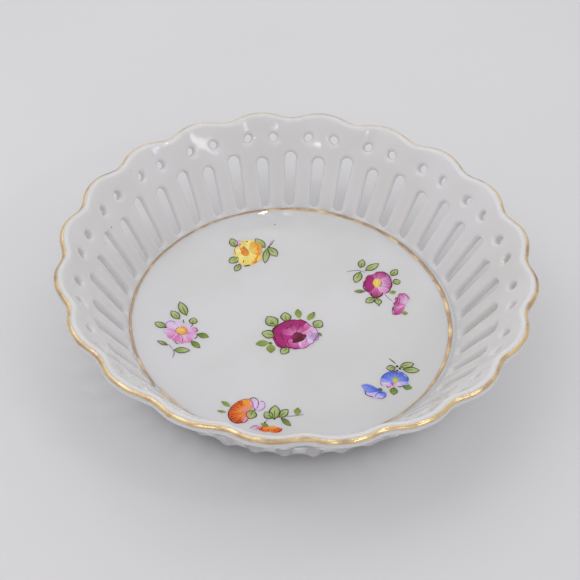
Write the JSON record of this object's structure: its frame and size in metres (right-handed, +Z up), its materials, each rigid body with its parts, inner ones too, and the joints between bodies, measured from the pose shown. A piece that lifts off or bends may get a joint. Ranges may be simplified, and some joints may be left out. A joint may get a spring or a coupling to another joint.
{
  "type": "ring dish",
  "caption": "Small round porcelain ring dish with a pierced, flaring wall, a scalloped gilt rim and painted flower sprigs on its floor.",
  "frame": {"origin": "centre of the circle that the foot ring rests on, on the table plane", "axes": "+Z up along the dish's axis, +X through the middle of one scallop"},
  "size_m": [0.1106, 0.1106, 0.0247],
  "materials": {
    "porcelain": "gloss",
    "gilding": "polished",
    "crimson_enamel": "gloss",
    "dark_red_enamel": "gloss",
    "green_enamel": "gloss",
    "yellow_enamel": "gloss",
    "orange_enamel": "gloss",
    "purple_enamel": "gloss",
    "pink_enamel": "gloss",
    "blue_enamel": "gloss",
    "lilac_enamel": "gloss"
  },
  "bodies": {
    "root": {"well_plate": "porcelain", "pierced_wall": "porcelain", "foot_ring": "porcelain", "rim_gilt_band": "gilding", "well_gilt_line": "gilding", "rose_petals": "crimson_enamel", "rose_heart": "dark_red_enamel", "rose_leaves": "green_enamel", "yellow_rose_petals": "yellow_enamel", "yellow_rose_heart": "orange_enamel", "yellow_rose_leaves": "green_enamel", "purple_flower_petals": "purple_enamel", "purple_flower_eye": "yellow_enamel", "purple_flower_bud": "purple_enamel", "purple_flower_leaves": "green_enamel", "daisy_petals": "pink_enamel", "daisy_eye": "yellow_enamel", "daisy_leaves": "green_enamel", "blue_flower_upper_petals": "blue_enamel", "blue_flower_lower_petals": "lilac_enamel", "blue_flower_eye": "yellow_enamel", "blue_flower_bud": "blue_enamel", "blue_flower_leaves": "green_enamel", "orange_flower_petals": "orange_enamel", "orange_flower_pale_petals": "lilac_enamel", "orange_flower_bud": "orange_enamel", "orange_flower_leaves": "green_enamel"}
  },
  "joints": []
}
